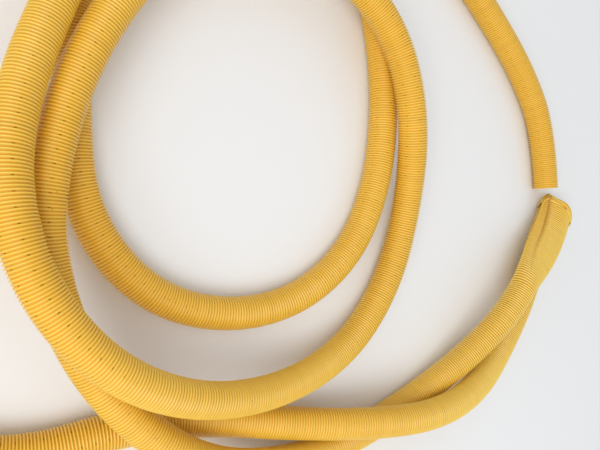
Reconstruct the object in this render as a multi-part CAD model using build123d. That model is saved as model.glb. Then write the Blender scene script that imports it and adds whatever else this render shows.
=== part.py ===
from build123d import *
import math
import os

# The pipe's section, in mm
crest_diameter = 80.0
corrugation_depth = 3.5
wall = 0.75
pitch = 6.9
crest_share = 0.42      # of the pitch, along the flat top of a ridge
flank_share = 0.10      # of the pitch, along each side of a ridge

# The open ends, made ridge by ridge
end_ridges = 9
slot_width = 1.3
slot_length = 5.0
slot_rows = 6
slot_step = 4           # valleys from one slot to the next in its row
cutter_height = 3.0     # enough to pass through the wall
end_margin = 1.0        # by which the plain length is cut away wider than itself

# The kink where the pipe is folded flat on itself
flat_height = 22.0
fold_gap = 6.0          # between the two flattened layers
fold_slip = 10.0        # sideways, of the lower layer under the upper one
fold_roll = 18.0        # degrees that the layers lean
fold_heading = 66.0     # degrees from +X, the way the folded end points
fold_centre = (1018, -163, 58)   # of the upper layer, where its last bend starts
tip_narrowing = 0.15    # of the flat width, at the outermost line of the fold
arm_stations = 5
bend_stations = 4
girth_steps = 60

crest_radius = crest_diameter / 2
valley_radius = crest_radius - corrugation_depth
end_length = end_ridges * pitch
arc_share = 0.45        # of the shorter run beside a corner, taken by its arc

# From the free end by the kink, over the top and round three loops, to the kink
upper_route = [
    (977, -107, 40), (964, 86, 40), (855, 276, 40), (687, 448, 40), (517, 600, 40),
    (337, 726, 40), (132, 810, 40), (-83, 828, 40), (-283, 758, 40), (-433, 618, 40),
    (-513, 428, 40), (-538, 223, 40), (-543, 23, 40), (-530, -172, 40), (-453, -320, 40),
    (-324, -420, 40), (-145, -454, 40), (32, -412, 40), (175, -294, 40), (254, -122, 40),
    (282, 68, 40), (272, 258, 40), (227, 433, 44), (114, 562, 66), (-48, 630, 94),
    (-224, 620, 118), (-380, 545, 129), (-496, 408, 130), (-574, 220, 141), (-648, 18, 168),
    (-672, -172, 196), (-618, -362, 213), (-485, -522, 213), (-283, -614, 168), (-48, -622, 108),
    (162, -550, 54), (300, -380, 42), (350, -160, 64), (324, 60, 120), (260, 258, 129),
    (124, 390, 130), (-58, 452, 130), (-248, 426, 130), (-402, 313, 128), (-513, 140, 127),
    (-582, -47, 127), (-608, -247, 127), (-566, -437, 127), (-463, -607, 127), (-303, -750, 123),
    (-83, -824, 66), (147, -817, 40), (377, -737, 42), (557, -634, 71), (692, -503, 121),
    (756, -426, 122),
]
# From the kink back under the loops, then round their left side to the other end
lower_route = [
    (893, -395, 40), (854, -482, 40), (742, -626, 47), (578, -723, 98), (382, -758, 134),
    (162, -750, 107), (-48, -724, 60), (-253, -681, 40), (-448, -672, 40), (-643, -700, 40),
    (-825, -646, 40), (-965, -525, 40), (-1042, -357, 40), (-1049, -167, 40), (-1014, 30, 40),
    (-946, 218, 40), (-857, 386, 40), (-745, 540, 40), (-608, 673, 40),
]


def bend_radii(points):
    """As large an arc at each corner as its two runs allow."""
    radii = []
    for before, corner, after in zip(points, points[1:], points[2:]):
        turn = math.radians((corner - before).get_angle(after - corner))
        run = min((corner - before).length, (after - corner).length)
        radii.append(arc_share * run / math.tan(turn / 2))
    return radii


def route_line(route):
    """Straight runs joined by tangent arcs."""
    points = [Vector(*point) for point in route]
    radii = bend_radii(points)
    print("bend radii", [round(radius) for radius in radii])
    return FilletPolyline(*points, radius=radii)


def laid_length(line):
    """The plain round length along a route."""
    return sweep(Plane(origin=line @ 0, z_dir=line % 0) * Circle(crest_radius), path=line)


def ridge_outline():
    """The wall's section in an open end, as (along, out) points from its cut edge inwards."""
    crest, flank = crest_share * pitch, flank_share * pitch
    outside = [(0, valley_radius)]
    for ridge in range(end_ridges):
        start = ridge * pitch + (pitch - crest) / 2 - flank
        outside += [
            (start, valley_radius),
            (start + flank, crest_radius),
            (start + flank + crest, crest_radius),
            (start + 2 * flank + crest, valley_radius),
        ]
    outside.append((end_length, valley_radius))
    inside = [(along, out - wall) for along, out in reversed(outside)]
    return outside + inside


def slots():
    """Narrow slots through the wall in every slot_step-th valley, stepped on from row to row."""
    cutters = []
    for row in range(slot_rows):
        first = 1 + row % 2 * slot_step // 2
        for valley in range(first, end_ridges, slot_step):
            cutter = Pos(valley_radius, 0, valley * pitch) * Box(cutter_height, slot_length, slot_width)
            cutters.append(Rot(0, 0, row * 360 / slot_rows) * cutter)
    return cutters


def open_end(cut):
    """The ridged, slotted end on a cut plane whose normal points into the pipe."""
    outline = Polyline(*[(out, along) for along, out in ridge_outline()], close=True)
    ridges = revolve(Plane.XZ * make_face(outline), Axis.Z)
    return cut * (ridges - slots())


def end_space(cut):
    """What the plain length gives up to its open end."""
    down = (Align.CENTER, Align.CENTER, Align.MIN)
    return cut * Cylinder(crest_radius + end_margin, end_length, align=down)


def flattened(flatness):
    """Half-width and half-height of the section, from round at 0 to flat at 1, same girth."""
    low = crest_radius + (flat_height / 2 - crest_radius) * flatness
    wide = low
    for _ in range(girth_steps):
        spread = ((wide - low) / (wide + low)) ** 2
        wide = crest_diameter / (1 + 3 * spread / (10 + math.sqrt(4 - 3 * spread))) - low
    return wide, low


def kink(upper_line, lower_line):
    """The pipe folded flat on itself: down one arm, round the fold and back along the other."""
    heading = math.radians(fold_heading)
    roll = math.radians(fold_roll)
    ahead = Vector(math.cos(heading), math.sin(heading), 0)
    level = ahead.cross(Vector(0, 0, 1))
    across = level * math.cos(roll) + Vector(0, 0, math.sin(roll))
    up = across.cross(ahead)
    bend_radius = (flat_height + fold_gap) / 2
    upper_centre = Vector(*fold_centre)
    lower_centre = upper_centre - up * 2 * bend_radius + across * fold_slip
    upper_arm = Spline(upper_line @ 1, upper_centre, tangents=[upper_line % 1, ahead])
    lower_arm = Spline(lower_line @ 0, lower_centre, tangents=[-(lower_line % 0), ahead])

    def section(centre, normal, flatness, narrowing=0):
        lean = level * math.cos(roll * flatness) + Vector(0, 0, math.sin(roll * flatness))
        lean -= normal * lean.dot(normal)
        wide, low = flattened(flatness)
        return Plane(origin=centre, x_dir=lean, z_dir=normal) * Ellipse(wide * (1 - narrowing), low)

    def arm_sections(arm):
        """Flattening fast at first, then staying flat towards the fold."""
        shares = [station / arm_stations for station in range(arm_stations + 1)]
        return [section(arm @ share, arm % share, 1 - (1 - share) ** 3) for share in shares]

    bend = []
    for station in range(bend_stations + 1):
        turn = math.pi * station / bend_stations
        centre = upper_centre + across * fold_slip * station / bend_stations
        centre += (up * (math.cos(turn) - 1) + ahead * math.sin(turn)) * bend_radius
        normal = ahead * math.cos(turn) - up * math.sin(turn)
        bend.append(section(centre, normal, 1, tip_narrowing * math.sin(turn)))
    print("kink", round(upper_arm.length + math.pi * bend_radius + lower_arm.length))
    return loft(arm_sections(upper_arm)) + loft(bend) + loft(arm_sections(lower_arm))


def pipe():
    upper_line = route_line(upper_route)
    lower_line = route_line(lower_route)
    print("laid lengths", round(upper_line.length), round(lower_line.length))
    near_cut = Plane(origin=upper_line @ 0, z_dir=upper_line % 0)
    far_cut = Plane(origin=lower_line @ 1, z_dir=-(lower_line % 1))
    body = laid_length(upper_line) + kink(upper_line, lower_line) + laid_length(lower_line)
    body -= [end_space(near_cut), end_space(far_cut)]
    body += [open_end(near_cut), open_end(far_cut)]
    return body


os.makedirs("parts", exist_ok=True)
whole = pipe()
print("box", whole.bounding_box().min, whole.bounding_box().max)
export_step(whole, "parts/pipe.step")
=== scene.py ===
import math

import bpy
import numpy as np
from mathutils import Matrix, Vector


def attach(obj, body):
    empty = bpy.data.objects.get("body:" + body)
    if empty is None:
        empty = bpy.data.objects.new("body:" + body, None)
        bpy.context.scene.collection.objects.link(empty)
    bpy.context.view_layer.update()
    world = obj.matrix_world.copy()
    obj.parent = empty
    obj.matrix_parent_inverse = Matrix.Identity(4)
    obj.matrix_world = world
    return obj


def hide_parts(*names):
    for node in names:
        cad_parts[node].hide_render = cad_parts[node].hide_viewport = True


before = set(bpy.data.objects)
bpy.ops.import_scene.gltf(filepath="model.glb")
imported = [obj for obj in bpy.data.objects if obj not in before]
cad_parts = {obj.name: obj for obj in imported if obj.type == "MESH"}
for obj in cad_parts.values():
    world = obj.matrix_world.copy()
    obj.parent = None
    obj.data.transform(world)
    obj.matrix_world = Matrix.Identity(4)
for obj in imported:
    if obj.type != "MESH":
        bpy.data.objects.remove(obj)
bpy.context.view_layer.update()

# All lengths are in metres. The pipe is made straight along X, one repeat of its ridges at a time,
# and then laid along its route.

pipe = {
    "crestRadius": 0.040,
    "ridgeDepth": 0.0035,
    "wall": 0.00075,
    "pitch": 0.0069,
    "crestShare": 0.42,      # of the pitch
    "flankShare": 0.10,      # of the pitch, each side
    "sides": 36,
    "ridgesPerRepeat": 4,
}
slot = {
    "rows": 6,
    "firstRow": math.radians(25),   # the top is at 90 degrees
    "endGap": 0.0006,        # from a slot's end to the next side of the section
    "width": 0.0013,
    "rimDepth": 0.0011,
    "valleyStep": 2,         # ridges between the slots of one row and the next row's
}
valleyRadius = pipe["crestRadius"] - pipe["ridgeDepth"]
repeatLength = pipe["pitch"] * pipe["ridgesPerRepeat"]

# From the free end by the kink, over the top and round three loops, to the kink
upperRoute = [
    (0.977, -0.107, 0.040), (0.964, 0.086, 0.040), (0.855, 0.276, 0.040), (0.687, 0.448, 0.040),
    (0.517, 0.600, 0.040), (0.337, 0.726, 0.040), (0.132, 0.810, 0.040), (-0.083, 0.828, 0.040),
    (-0.283, 0.758, 0.040), (-0.433, 0.618, 0.040), (-0.513, 0.428, 0.040), (-0.538, 0.223, 0.040),
    (-0.543, 0.023, 0.040), (-0.530, -0.172, 0.040), (-0.453, -0.320, 0.040), (-0.324, -0.420, 0.040),
    (-0.145, -0.454, 0.040), (0.032, -0.412, 0.040), (0.175, -0.294, 0.040), (0.254, -0.122, 0.040),
    (0.282, 0.068, 0.040), (0.272, 0.258, 0.040), (0.227, 0.433, 0.044), (0.114, 0.562, 0.066),
    (-0.048, 0.630, 0.094), (-0.224, 0.620, 0.118), (-0.380, 0.545, 0.129), (-0.496, 0.408, 0.130),
    (-0.574, 0.220, 0.141), (-0.648, 0.018, 0.168), (-0.672, -0.172, 0.196), (-0.618, -0.362, 0.213),
    (-0.485, -0.522, 0.213), (-0.283, -0.614, 0.168), (-0.048, -0.622, 0.108), (0.162, -0.550, 0.054),
    (0.300, -0.380, 0.042), (0.350, -0.160, 0.064), (0.324, 0.060, 0.120), (0.260, 0.258, 0.129),
    (0.124, 0.390, 0.130), (-0.058, 0.452, 0.130), (-0.248, 0.426, 0.130), (-0.402, 0.313, 0.128),
    (-0.513, 0.140, 0.127), (-0.582, -0.047, 0.127), (-0.608, -0.247, 0.127), (-0.566, -0.437, 0.127),
    (-0.463, -0.607, 0.127), (-0.303, -0.750, 0.123), (-0.083, -0.824, 0.066), (0.147, -0.817, 0.040),
    (0.377, -0.737, 0.042), (0.557, -0.634, 0.071), (0.692, -0.503, 0.121), (0.756, -0.426, 0.122),
]
# From the kink back under the loops, then round their left side to the other end
lowerRoute = [
    (0.893, -0.395, 0.040), (0.854, -0.482, 0.040), (0.742, -0.626, 0.047), (0.578, -0.723, 0.098),
    (0.382, -0.758, 0.134), (0.162, -0.750, 0.107), (-0.048, -0.724, 0.060), (-0.253, -0.681, 0.040),
    (-0.448, -0.672, 0.040), (-0.643, -0.700, 0.040), (-0.825, -0.646, 0.040), (-0.965, -0.525, 0.040),
    (-1.042, -0.357, 0.040), (-1.049, -0.167, 0.040), (-1.014, 0.030, 0.040), (-0.946, 0.218, 0.040),
    (-0.857, 0.386, 0.040), (-0.745, 0.540, 0.040), (-0.608, 0.673, 0.040),
]


def deselectAll():
    if bpy.context.object and bpy.context.object.mode != "OBJECT":
        bpy.ops.object.mode_set(mode="OBJECT")
    bpy.ops.object.select_all(action="DESELECT")


def makeActive(obj):
    deselectAll()
    obj.select_set(True)
    bpy.context.view_layer.objects.active = obj


def pickVerts(obj, test):
    makeActive(obj)
    bpy.ops.object.mode_set(mode="EDIT")
    bpy.ops.mesh.select_mode(type="VERT")
    bpy.ops.mesh.select_all(action="DESELECT")
    bpy.ops.object.mode_set(mode="OBJECT")
    for vert in obj.data.vertices:
        vert.select = test(vert.co)
    bpy.ops.object.mode_set(mode="EDIT")


def pickFaces(obj, test):
    makeActive(obj)
    bpy.ops.object.mode_set(mode="EDIT")
    bpy.ops.mesh.select_mode(type="FACE")
    bpy.ops.mesh.select_all(action="DESELECT")
    bpy.ops.object.mode_set(mode="OBJECT")
    for face in obj.data.polygons:
        face.select = test(face.center)
    bpy.ops.object.mode_set(mode="EDIT")


def applyModifier(obj, kind, **settings):
    makeActive(obj)
    modifier = obj.modifiers.new(kind.lower(), kind)
    for name, value in settings.items():
        setattr(modifier, name, value)
    bpy.ops.object.modifier_apply(modifier=modifier.name)


def repeatAlongX(obj, count, step):
    applyModifier(obj, "ARRAY", count=count, use_relative_offset=False, use_constant_offset=True,
                  constant_offset_displace=(step, 0, 0), use_merge_vertices=True,
                  merge_threshold=0.00002)


def makeRidge():
    # One ridge: its crest is a short tube, its flanks and the valley after it are extruded
    crest = pipe["pitch"] * pipe["crestShare"]
    flank = pipe["pitch"] * pipe["flankShare"]
    valley = pipe["pitch"] - crest - 2 * flank
    shrink = valleyRadius / pipe["crestRadius"]
    deselectAll()
    bpy.ops.mesh.primitive_cylinder_add(
        vertices=pipe["sides"], radius=pipe["crestRadius"], depth=crest, end_fill_type="NOTHING",
        location=(flank + crest / 2, 0, 0), rotation=(0, math.pi / 2, 0))
    ridge = bpy.context.object
    bpy.ops.object.transform_apply(location=True, rotation=True, scale=True)
    middle = flank + crest / 2
    for side in (-1, 1):
        pickVerts(ridge, lambda co: (co.x - middle) * side > crest / 4)
        bpy.ops.mesh.extrude_region_move(TRANSFORM_OT_translate={"value": (side * flank, 0, 0)})
        bpy.ops.transform.resize(value=(1, shrink, shrink), center_override=(middle, 0, 0))
    bpy.ops.mesh.extrude_region_move(TRANSFORM_OT_translate={"value": (valley, 0, 0)})
    bpy.ops.object.mode_set(mode="OBJECT")
    return ridge, 2 * flank + crest, valley


def cutSlots(piece, valleyStart, valley):
    # Slots lie in the valleys. Every second row starts two ridges further on
    rowTurn = 2 * math.pi / slot["rows"]
    halfSide = math.pi / pipe["sides"]
    for ridge in range(0, pipe["ridgesPerRepeat"], slot["valleyStep"]):
        middle = ridge * pipe["pitch"] + valleyStart + valley / 2
        parity = ridge // slot["valleyStep"] % 2

        def inRow(co):
            turn = (math.atan2(co.z, co.y) - slot["firstRow"] - parity * rowTurn) % (2 * rowTurn)
            near = min(turn, 2 * rowTurn - turn) < halfSide
            return near and abs(co.x - middle) < valley / 4

        pickFaces(piece, inRow)
        bpy.ops.mesh.inset(thickness=slot["endGap"])
        narrow = slot["width"] / (valley - 2 * slot["endGap"])
        bpy.ops.transform.resize(value=(narrow, 1, 1), center_override=(middle, 0, 0))
        inward = 1 - slot["rimDepth"] / valleyRadius
        bpy.ops.mesh.extrude_region_move(TRANSFORM_OT_translate={"value": (0, 0, 0)})
        bpy.ops.transform.resize(value=(1, inward, inward), center_override=(middle, 0, 0))
        bpy.ops.mesh.delete(type="FACE")
    bpy.ops.object.mode_set(mode="OBJECT")


def makeRepeat():
    piece, valleyStart, valley = makeRidge()
    repeatAlongX(piece, pipe["ridgesPerRepeat"], pipe["pitch"])
    cutSlots(piece, valleyStart, valley)
    piece.name = "repeatOfRidges"
    return piece


def makeStraight(name, repeats, start, length, wallInside=False):
    # A straight length of pipe that starts at `start` along its route
    piece = repeatPiece.copy()
    piece.data = repeatPiece.data.copy()
    piece.name = name
    bpy.context.collection.objects.link(piece)
    repeatAlongX(piece, repeats, repeatLength)
    mesh = piece.data
    places = np.empty(len(mesh.vertices) * 3)
    mesh.vertices.foreach_get("co", places)
    places = places.reshape(-1, 3)
    places[:, 0] = start + places[:, 0] * length / (repeats * repeatLength)
    mesh.vertices.foreach_set("co", places.ravel())
    if wallInside:
        applyModifier(piece, "SOLIDIFY", thickness=pipe["wall"], offset=-1)
        # The square cut faces stay crisp
        pickFaces(piece, lambda co: min(co.x - start, start + length - co.x) < 1e-5)
        bpy.ops.mesh.region_to_loop()
        bpy.ops.mesh.mark_sharp()
        bpy.ops.object.mode_set(mode="OBJECT")
        places = np.empty(len(mesh.vertices) * 3)
        mesh.vertices.foreach_get("co", places)
        places = places.reshape(-1, 3)
    ridge = (np.hypot(places[:, 1], places[:, 2]) - valleyRadius) / pipe["ridgeDepth"]
    for label, values in (("ridge", ridge), ("along", places[:, 0])):
        layer = mesh.attributes.new(label, "FLOAT", "POINT")
        layer.data.foreach_set("value", values.astype(np.float32))
    makeActive(piece)
    bpy.ops.object.shade_smooth()
    return piece


def makeLine(name, points):
    curve = bpy.data.curves.new(name, "CURVE")
    curve.dimensions = "3D"
    curve.twist_mode = "Z_UP"
    curve.resolution_u = 24
    spline = curve.splines.new("NURBS")
    spline.points.add(len(points) - 1)
    for point, place in zip(spline.points, points):
        point.co = (*place, 1)
    spline.order_u = 3
    spline.use_endpoint_u = True
    line = bpy.data.objects.new(name, curve)
    bpy.context.collection.objects.link(line)
    bpy.context.view_layer.update()
    mesh = bpy.data.meshes.new_from_object(line)
    places = [vert.co.copy() for vert in mesh.vertices]
    bpy.data.meshes.remove(mesh)
    lengths = [0.0]
    for before, after in zip(places, places[1:]):
        lengths.append(lengths[-1] + (after - before).length)
    return {"object": line, "places": places, "lengths": lengths, "total": lengths[-1]}


def linePart(line, start, end):
    # The points of the line from one length along it to another
    inside = [place for place, length in zip(line["places"], line["lengths"]) if start < length < end]
    return [lineAt(line, start), *inside, lineAt(line, end)]


def lineAt(line, wanted):
    wanted = min(max(wanted, 0), line["total"])
    for index in range(1, len(line["places"])):
        if line["lengths"][index] >= wanted - 1e-9:
            span = line["lengths"][index] - line["lengths"][index - 1]
            share = (wanted - line["lengths"][index - 1]) / span
            return line["places"][index - 1].lerp(line["places"][index], share)
    return line["places"][-1]


class Socket:
    # A shader value that takes part in Python expressions
    def __init__(self, tree, link):
        self.tree, self.link = tree, link

    def maths(self, operation, *others, clamp=False):
        node = self.tree.nodes.new("ShaderNodeMath")
        node.operation, node.use_clamp = operation, clamp
        for place, value in zip(node.inputs, (self, *others)):
            plug(self.tree, place, value)
        return Socket(self.tree, node.outputs[0])

    def __add__(self, other): return self.maths("ADD", other)
    def __radd__(self, other): return self.maths("ADD", other)
    def __sub__(self, other): return self.maths("SUBTRACT", other)
    def __rsub__(self, other): return self.maths("MULTIPLY", -1) + other
    def __mul__(self, other): return self.maths("MULTIPLY", other)
    def __rmul__(self, other): return self.maths("MULTIPLY", other)

    def between(self, low, high):
        # 0 at low, 1 at high, smooth in between
        node = self.tree.nodes.new("ShaderNodeMapRange")
        node.interpolation_type = "SMOOTHSTEP"
        plug(self.tree, node.inputs["Value"], self)
        node.inputs["From Min"].default_value = low
        node.inputs["From Max"].default_value = high
        return Socket(self.tree, node.outputs["Result"])


def plug(tree, place, value):
    if isinstance(value, Socket):
        tree.links.new(value.link, place)
    else:
        place.default_value = value


class Finish:
    # A material and the one way that its nodes are added
    def __init__(self, name):
        self.material = bpy.data.materials.new(name)
        self.material.use_nodes = True
        self.tree = self.material.node_tree
        self.shader = self.tree.nodes["Principled BSDF"]

    def node(self, kind, settings=None, output=0, **values):
        node = self.tree.nodes.new(kind)
        for name, value in (settings or {}).items():
            setattr(node, name, value)
        for name, value in values.items():
            plug(self.tree, node.inputs[name.replace("_", " ")], value)
        return Socket(self.tree, node.outputs[output])

    def mix(self, share, first, second, how="MIX"):
        node = self.tree.nodes.new("ShaderNodeMix")
        node.data_type, node.blend_type = "RGBA", how
        for place, value in zip((node.inputs[0], node.inputs[6], node.inputs[7]),
                                (share, first, second)):
            plug(self.tree, place, value)
        return Socket(self.tree, node.outputs[2])

    def set(self, **values):
        for name, value in values.items():
            plug(self.tree, self.shader.inputs[name.replace("_", " ")], value)


def yellowPlastic():
    finish = Finish("yellowPlastic")
    place = finish.node("ShaderNodeTexCoord", output=3)
    ridge = finish.node("ShaderNodeAttribute", {"attribute_name": "ridge"}, output=2)
    along = finish.node("ShaderNodeAttribute", {"attribute_name": "along"}, output=2)
    crest = ridge.between(0.05, 0.95)
    count = along * (1 / pipe["pitch"])
    batch = finish.node("ShaderNodeTexNoise", {"noise_dimensions": "1D"}, W=count, Scale=0.35, Detail=2)
    cloud = finish.node("ShaderNodeTexNoise", Vector=place, Scale=6.0, Detail=4.0, Roughness=0.6)
    grime = finish.node("ShaderNodeTexNoise", Vector=place, Scale=42.0, Detail=5.0, Roughness=0.65)
    grain = finish.node("ShaderNodeTexNoise", Vector=place, Scale=900.0, Detail=2.0)
    right = finish.node("ShaderNodeSeparateXYZ", Vector=place)
    above = finish.node("ShaderNodeSeparateXYZ", Vector=place, output=1)
    # Towards the kink the crests are painted paler and the valleys darker: painted light on that part of the
    # coil, with painted shade in its valleys.
    paintedLightNearKink = right.between(0.1, 0.7) * (1 - above.between(-0.3, -0.1))
    # The valleys get a darker colour than the crests: painted shade in the hollows between the ridges.
    valleyPaintedShade = finish.mix(paintedLightNearKink, (0.80, 0.41, 0.018, 1), (0.66, 0.31, 0.012, 1))
    crestColour = finish.mix(paintedLightNearKink, (0.89, 0.56, 0.055, 1), (0.98, 0.69, 0.11, 1))
    crestColour = finish.mix(cloud.between(0.35, 0.72) * 0.4, crestColour, (0.92, 0.63, 0.10, 1))
    body = finish.mix(crest, valleyPaintedShade, crestColour)
    tone = 0.90 + batch * 0.12 + cloud * 0.10
    body = finish.mix(1.0, body, finish.node("ShaderNodeCombineColor", Red=tone, Green=tone, Blue=tone),
                      "MULTIPLY")
    dust = grime.between(0.56, 0.74) * crest * 0.18
    body = finish.mix(dust, body, (0.86, 0.66, 0.32, 1))
    dirt = grime.between(0.60, 0.80) * (1 - crest) * 0.22
    body = finish.mix(dirt, body, (0.20, 0.11, 0.04, 1))
    specks = finish.node("ShaderNodeTexVoronoi", Vector=place, Scale=46.0, Randomness=1.0)
    rare = finish.node("ShaderNodeTexNoise", Vector=place, Scale=11.0, Detail=1.0)
    speck = (1 - specks.between(0.045, 0.085)) * rare.between(0.55, 0.62) * 0.75
    body = finish.mix(speck, body, (0.10, 0.06, 0.03, 1))
    # The crease attribute darkens the fold's crease line and the strip on its left: painted shade.
    paintedCreaseShade = finish.node("ShaderNodeAttribute", {"attribute_name": "crease"}, output=2)
    body = finish.mix(paintedCreaseShade * 0.8, body, (0.62, 0.28, 0.015, 1))
    # Surfaces below the valleys' radius, the slots' rims and the inner wall there, are darkened: painted shade
    # inside the pipe.
    inside = 1 - ridge.between(-0.5, -0.18)
    body = finish.mix(inside * 0.3, body, (0.30, 0.12, 0.01, 1))
    bump = finish.node("ShaderNodeBump", Strength=0.10, Distance=0.0004, Height=grain)
    finish.set(Base_Color=body, Roughness=0.34 + grime * 0.16 + (1 - crest) * 0.08, Normal=bump,
               Specular_IOR_Level=0.65)
    return finish.material


print("repeat of ridges")
repeatPiece = makeRepeat()
print("  triangles in a repeat", sum(len(face.vertices) - 2 for face in repeatPiece.data.polygons))

print("routes")
upperLine = makeLine("upperLine", upperRoute)
lowerLine = makeLine("lowerLine", lowerRoute)
print("  lengths", round(upperLine["total"], 3), round(lowerLine["total"], 3))

plastic = yellowPlastic()
parts = []


def finishPiece(piece):
    piece.data.materials.clear()
    piece.data.materials.append(plastic)
    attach(piece, "root")
    parts.append(piece)


def layAlong(piece, line):
    applyModifier(piece, "CURVE", object=line["object"], deform_axis="POS_X")
    finishPiece(piece)


lengths = {
    "endRepeats": 4,         # with their wall's thickness, at each open end
    "upperStretches": 3,
}


def layRoute(line, name, stretches, endFirst):
    # The open end and the stretches of one route, each a whole number of repeats long
    repeats = round(line["total"] / repeatLength)
    step = line["total"] / repeats
    ends = lengths["endRepeats"]
    first = 0 if endFirst else repeats - ends
    end = makeStraight(name + "OpenEnd", ends, first * step, ends * step, wallInside=True)
    layAlong(end, line)
    begin = ends if endFirst else 0
    share = (repeats - ends) / stretches
    laid = []
    for index in range(stretches):
        low = begin + round(index * share)
        high = begin + round((index + 1) * share)
        piece = makeStraight(f"{name}Stretch{index + 1}", high - low, low * step, (high - low) * step)
        layAlong(piece, line)
        laid.append((piece, low * step, high * step))
    return end, laid, repeats


print("stretches")
upperEnd, upperLaid, upperCount = layRoute(upperLine, "upper", lengths["upperStretches"], True)
lowerEnd, lowerLaid, lowerCount = layRoute(lowerLine, "lower", 1, False)

# Where the pipe is folded flat on itself. Across the fold, 0 is its middle and 1 its right-hand edge
fold = {
    "centre": Vector((1.018, -0.163, 0.058)),
    "slip": 0.010,           # sideways, of the lower layer under the upper one
    "heading": math.radians(66),
    "roll": math.radians(18),
    "flatHeight": 0.022,
    "gap": 0.006,
    "repeats": 22,           # the ridges are pulled a little apart here
    "steps": 80,
    "rightCorner": (0.040, 0.048),   # its width across the fold, and how far it falls back
    "leftCorner": (0.022, 0.036),
    "cornerFade": 0.16,      # along each arm
    "creaseAway": (0.0, 0.04, 0.09, 0.15, 0.22, 0.32),   # the crease's place at these lengths along
    "creaseAt": (-0.60, -0.48, -0.40, -0.38, -0.48, -0.64),
    "creaseColumn": -0.5,    # the row of points that it follows
    "creaseWidth": 0.45,     # each side
    "creaseDepth": 0.006,
    "notchWidth": 0.15,      # of the sharp line at its bottom
    "notchDepth": 0.013,
    "pinch": 0.6,            # how far the points beside it are drawn in to it
    "creaseFade": 0.38,
    "peak": 0.006,           # of the outline, and where across the fold
    "peakAt": -0.60,
}


def flattened(flatness):
    # Half-width and half-height, from round at 0 to flat at 1, with the same girth
    low = pipe["crestRadius"] + (fold["flatHeight"] / 2 - pipe["crestRadius"]) * flatness
    wide = low
    for _ in range(60):
        spread = ((wide - low) / (wide + low)) ** 2
        wide = 2 * pipe["crestRadius"] / (1 + 3 * spread / (10 + math.sqrt(4 - 3 * spread))) - low
    return wide, low


def armPoint(start, startWay, end, endWay, share):
    reach = (end - start).length
    a, b = start + startWay * reach / 3, end - endWay * reach / 3
    keep = 1 - share
    return start * keep**3 + a * 3 * keep**2 * share + b * 3 * keep * share**2 + end * share**3


foldAhead = Vector((math.cos(fold["heading"]), math.sin(fold["heading"]), 0))
foldLevel = foldAhead.cross(Vector((0, 0, 1)))


def foldStations():
    # Places, flatness and outer side from the upper route's end, round the fold, to the lower route's start
    across = foldLevel * math.cos(fold["roll"]) + Vector((0, 0, math.sin(fold["roll"])))
    up = across.cross(foldAhead)
    radius = (fold["flatHeight"] + fold["gap"]) / 2
    lowerCentre = fold["centre"] - up * 2 * radius + across * fold["slip"]
    upperStart = Vector(upperRoute[-1])
    upperWay = (upperStart - Vector(upperRoute[-2])).normalized()
    lowerStart = Vector(lowerRoute[0])
    lowerWay = (Vector(lowerRoute[1]) - lowerStart).normalized()
    shares = [step / fold["steps"] for step in range(fold["steps"])]
    stations = [(armPoint(upperStart, upperWay, fold["centre"], foldAhead, share), share)
                for share in shares]
    for share in shares:
        turn = math.pi * share
        centre = fold["centre"] + across * fold["slip"] * share
        centre += (up * (math.cos(turn) - 1) + foldAhead * math.sin(turn)) * radius
        stations.append((centre, 1))
    stations += [(armPoint(lowerCentre, -foldAhead, lowerStart, lowerWay, share), 1 - share)
                 for share in shares]
    stations.append((lowerStart, 0))
    return stations


def foldFrames(stations):
    # Centre, sideways and upward axes and half-sizes of the section at each station
    frames = []
    for index, (centre, share) in enumerate(stations):
        before = stations[max(index - 1, 0)][0]
        after = stations[min(index + 1, len(stations) - 1)][0]
        way = (after - before).normalized()
        flatness = 1 - (1 - share) ** 3
        roll = fold["roll"] * flatness
        lean = foldLevel * math.cos(roll) + Vector((0, 0, math.sin(roll)))
        lean = (lean - way * lean.dot(way)).normalized()
        wide, low = flattened(flatness)
        frames.append([*centre, *lean, *lean.cross(way), wide, low])
    return np.array(frames)


def roundedBack(across):
    # How far the flat end's outline falls back towards its corners
    half = flattened(1)[0]
    back = 0
    for side, (width, fall) in ((1, fold["rightCorner"]), (-1, fold["leftCorner"])):
        into = np.clip((side * across * half - half + width) / width, 0, 1)
        back = back + fall * (1 - np.sqrt(1 - into**2))
    return back


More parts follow.
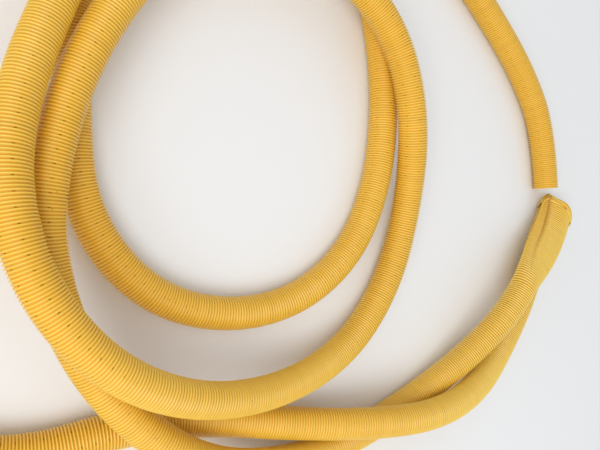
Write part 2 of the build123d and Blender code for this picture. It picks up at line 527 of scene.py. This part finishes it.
def makeFold():
    stations = foldStations()
    marks = [0.0]
    for before, after in zip(stations, stations[1:]):
        marks.append(marks[-1] + (after[0] - before[0]).length)
    print("  kink length", round(marks[-1], 3))
    piece = makeStraight("kinkedFold", fold["repeats"], 0, marks[-1])
    mesh = piece.data
    places = np.empty(len(mesh.vertices) * 3)
    mesh.vertices.foreach_get("co", places)
    places = places.reshape(-1, 3)
    frames = foldFrames(stations)
    here = np.stack([np.interp(places[:, 0], marks, column) for column in frames.T], axis=1)
    centre, lean, rise, wide, low = here[:, :3], here[:, 3:6], here[:, 6:9], here[:, 9], here[:, 10]
    turn = np.arctan2(places[:, 2], places[:, 1])
    depth = pipe["crestRadius"] - np.hypot(places[:, 1], places[:, 2])
    across = -np.cos(turn)
    bendStart, bendEnd = marks[fold["steps"]], marks[2 * fold["steps"]]
    away = np.maximum(np.maximum(bendStart - places[:, 0], places[:, 0] - bendEnd), 0)
    aside = across - fold["creaseColumn"]
    valley = np.clip(1 - np.abs(aside) / fold["creaseWidth"], 0, 1)
    overTip = np.clip((places[:, 0] - bendStart) / (bendEnd - bendStart) * 2, 0, 1)
    notch = np.clip(1 - np.abs(aside) / fold["notchWidth"], 0, 1)
    share = np.clip(1 - away / fold["creaseFade"], 0, 1) * (1 - overTip) ** 2 * np.clip(np.sin(turn) * 2, 0, 1)
    crease = (fold["creaseDepth"] * valley + fold["notchDepth"] * notch) * share
    peak = fold["peak"] * np.clip(1 - np.abs(across - fold["peakAt"]) / 0.34, 0, 1)
    back = (roundedBack(across) - peak) * np.clip(1 - away / fold["cornerFade"], 0, 1) ** 2
    drift = np.interp(away, fold["creaseAway"], fold["creaseAt"]) - fold["creaseColumn"]
    near = np.clip(1 - np.abs(aside) / 0.5, 0, 1) * np.clip(1 - away / fold["creaseFade"], 0, 1)
    pinched = aside * fold["pinch"] * np.clip(1 - np.abs(aside) / 0.35, 0, 1) * share
    across = across + drift * near * (np.sin(turn) > 0) - pinched
    placed = (centre + lean * (across * (wide - depth))[:, None]
              + rise * (np.sin(turn) * (low - depth) - crease)[:, None]
              - np.array(foldAhead) * back[:, None])
    mesh.vertices.foreach_set("co", placed.ravel())
    mesh.update()
    # The crease attribute marks painted shade for the material: the sharp line at the crease's bottom and the
    # strip on its left side.
    layer = mesh.attributes.new("crease", "FLOAT", "POINT")
    layer.data.foreach_set("value", (share * (0.45 * (aside < 0.01) + 0.55 * notch)).astype(np.float32))
    return piece


print("kinked fold")
kinked = makeFold()
finishPiece(kinked)

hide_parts("pipe")
for order, (piece, low, high) in enumerate(upperLaid):
    points = linePart(upperLine, low, high)
    if order == 0:
        points.reverse()
    high - low
for piece, low, high in lowerLaid:
    points = linePart(lowerLine, low, high)
    high - low

for leftOver in (repeatPiece, upperLine["object"], lowerLine["object"]):
    bpy.data.objects.remove(leftOver)

# Floor, light and camera
studio = {
    "floorSize": 14.0,
    "floorColour": (0.86, 0.86, 0.85, 1),
    "worldColour": (0.80, 0.82, 0.85, 1),
    "worldStrength": 0.87,
    "lampPower": 138.0,
    "lampSize": 3.6,
    "lampPlace": Vector((-3.0, -1.7, 4.2)),
}


def makeFloor():
    deselectAll()
    bpy.ops.mesh.primitive_plane_add(size=studio["floorSize"])
    floor = bpy.context.object
    floor.name = "floor"
    finish = Finish("paleFloor")
    finish.set(Base_Color=studio["floorColour"], Roughness=0.85)
    floor.data.materials.append(finish.material)


def makeLight():
    world = bpy.data.worlds.new("paleSky")
    world.use_nodes = True
    background = world.node_tree.nodes["Background"]
    background.inputs["Color"].default_value = studio["worldColour"]
    background.inputs["Strength"].default_value = studio["worldStrength"]
    bpy.context.scene.world = world
    lamp = bpy.data.lights.new("softLamp", "AREA")
    lamp.energy = studio["lampPower"]
    lamp.size = studio["lampSize"]
    lampObject = bpy.data.objects.new("softLamp", lamp)
    bpy.context.collection.objects.link(lampObject)
    lampObject.location = studio["lampPlace"]
    lampObject.rotation_euler = (-studio["lampPlace"]).to_track_quat("-Z", "Y").to_euler()


# The picture is 600 by 450. Its upward side is +Y, and its left side is the near one
view = {
    "place": Vector((-0.7215, -0.232, 1.305)),
    "right": Vector((math.cos(math.radians(30)), 0, 0.5)),
    "up": Vector((0, 1, 0)),
    "lens": 34.2,
    "sensor": 36.0,
}


def makeCamera():
    data = bpy.data.cameras.new("camera")
    data.lens = view["lens"]
    data.sensor_width = view["sensor"]
    data.sensor_fit = "HORIZONTAL"
    data.clip_start = 0.05
    camera = bpy.data.objects.new("camera", data)
    bpy.context.collection.objects.link(camera)
    back = view["right"].cross(view["up"])
    turn = Matrix((view["right"], view["up"], back)).transposed()
    camera.matrix_world = Matrix.Translation(view["place"]) @ turn.to_4x4()
    bpy.context.scene.camera = camera


print("floor, light and camera")
makeFloor()
makeLight()
makeCamera()
bpy.context.scene.view_settings.view_transform = "Standard"

print("triangles", sum(len(face.vertices) - 2 for piece in parts for face in piece.data.polygons))
